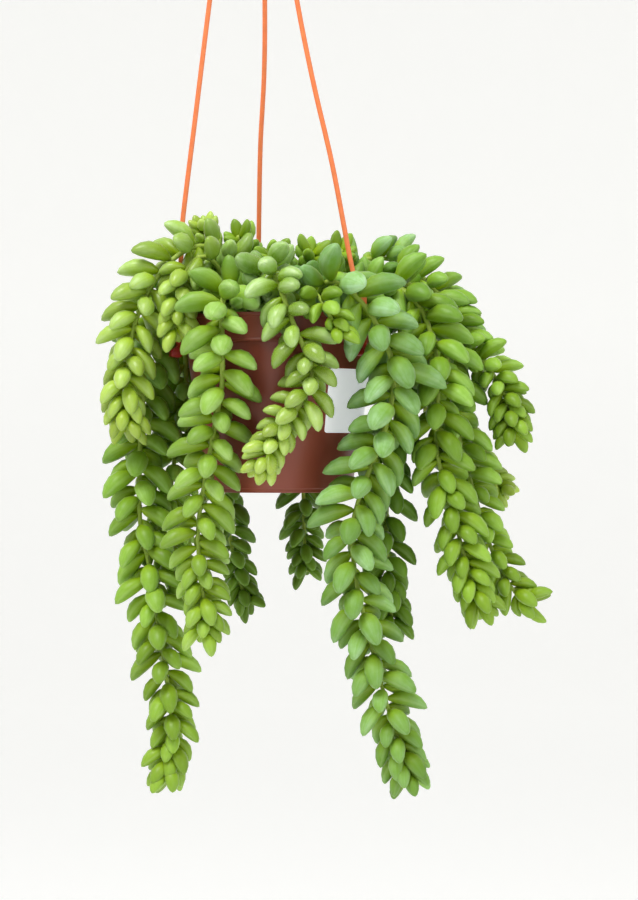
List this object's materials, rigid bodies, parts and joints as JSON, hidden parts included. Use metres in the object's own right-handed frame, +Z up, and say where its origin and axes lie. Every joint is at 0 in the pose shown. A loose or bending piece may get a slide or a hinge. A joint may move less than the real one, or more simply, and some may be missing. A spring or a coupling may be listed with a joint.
{
  "type": "potted burros tail plant",
  "caption": "Trailing succulent with plump teardrop leaves in a round tapered hanging pot on a strand hanger with a hook.",
  "frame": {"origin": "inside top of the hook, where the hanger rests on what holds it", "axes": "+Z up, +X to the right and +Y away from the viewer of the picture"},
  "size_m": [0.2612, 0.1849, 0.6937],
  "materials": {
    "pot_plastic": "satin terracotta-coloured moulded plastic",
    "potting_soil": "dark crumbly peat and bark",
    "label_paper": "plain white coated paper",
    "hanger_plastic": "orange slightly translucent moulded plastic",
    "glaucous_leaf": "waxy blue-green fleshy leaf with a powdery bloom",
    "green_leaf": "smooth mid green fleshy leaf",
    "lime_leaf": "smooth yellow-green fleshy leaf",
    "shaded_leaf": "smooth dark green fleshy leaf"
  },
  "bodies": {
    "root": {"pot": "pot_plastic", "soil": "potting_soil", "label": "label_paper", "hook": "hanger_plastic", "strand_left": "hanger_plastic", "strand_right": "hanger_plastic", "strand_back": "hanger_plastic", "stem_front_right_long": "glaucous_leaf", "stem_front_left": "green_leaf", "stem_front_centre": "lime_leaf", "stem_left_upper": "lime_leaf", "stem_left_long": "green_leaf", "stem_right_outer": "green_leaf", "stem_front_middle": "green_leaf", "stem_left_middle": "green_leaf", "stem_right_rear": "green_leaf", "stem_right_curled": "green_leaf", "stem_right_inner": "shaded_leaf", "stem_top_right": "glaucous_leaf", "stem_left_short": "lime_leaf", "stem_top_left": "lime_leaf", "stem_top_back": "green_leaf", "stem_top_centre": "green_leaf", "stem_top_middle": "green_leaf", "stem_top_rear": "green_leaf", "stem_top_front": "glaucous_leaf", "stem_right_small": "lime_leaf", "stem_back_centre": "shaded_leaf", "stem_back_left": "shaded_leaf", "stem_back_right": "shaded_leaf"}
  },
  "joints": []
}
